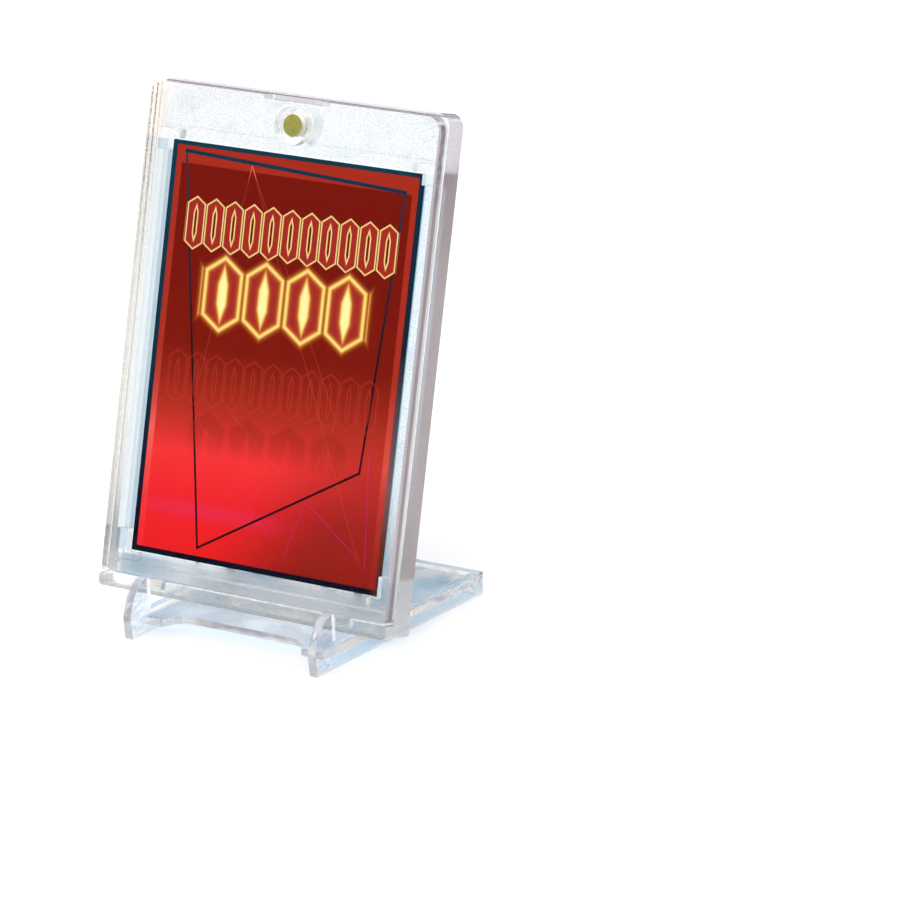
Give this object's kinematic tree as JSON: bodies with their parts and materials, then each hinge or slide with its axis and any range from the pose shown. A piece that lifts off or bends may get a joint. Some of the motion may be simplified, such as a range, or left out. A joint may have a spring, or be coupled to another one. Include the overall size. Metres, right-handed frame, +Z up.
{
  "type": "trading card holder with easel stand",
  "caption": "Clear magnetic card holder with a trading card inside, leaning on a clear easel stand with front hooks and a ribbed back panel that lifts out.",
  "frame": {"origin": "on the resting plane, midway between the outermost faces in X and Y", "axes": "+Z up; -Y is the front, where the card faces; +X is to the right seen from the front"},
  "size_m": [0.0734, 0.0662, 0.1142],
  "materials": {
    "stand_plastic": "clear injection-moulded styrene, glossy",
    "holder_plastic": "clear acrylic, polished, with a fine satin grain on the border",
    "cover_plastic": "clear acrylic, polished, with a fine satin grain on the border",
    "gold_plate": "gold-plated, slightly dull",
    "printed_card": "coated card, printed in reds with a thin navy edge"
  },
  "bodies": {
    "base": {"stand_base": "stand_plastic"},
    "panel": {"back_panel": "stand_plastic"},
    "holder": {"back_shell": "holder_plastic", "back_magnet": "gold_plate", "back_magnet_carrier": "holder_plastic", "card": "printed_card"},
    "cover": {"front_cover": "cover_plastic", "front_magnet": "gold_plate", "front_magnet_carrier": "cover_plastic"}
  },
  "joints": [
    {"name": "panel_lift", "type": "slide", "parent": "base", "child": "panel", "axis": [0, 0, 1], "range_m": [0, 0.03]},
    {"name": "holder_lift", "type": "slide", "parent": "panel", "child": "holder", "axis": [0, 0, 1], "range_m": [0, 0.06]},
    {"name": "cover_hinge", "type": "hinge", "parent": "holder", "child": "cover", "pos_m": [0, -0.0228, 0.01051], "axis": [1, 0, 0], "range_deg": [0, 50]}
  ]
}
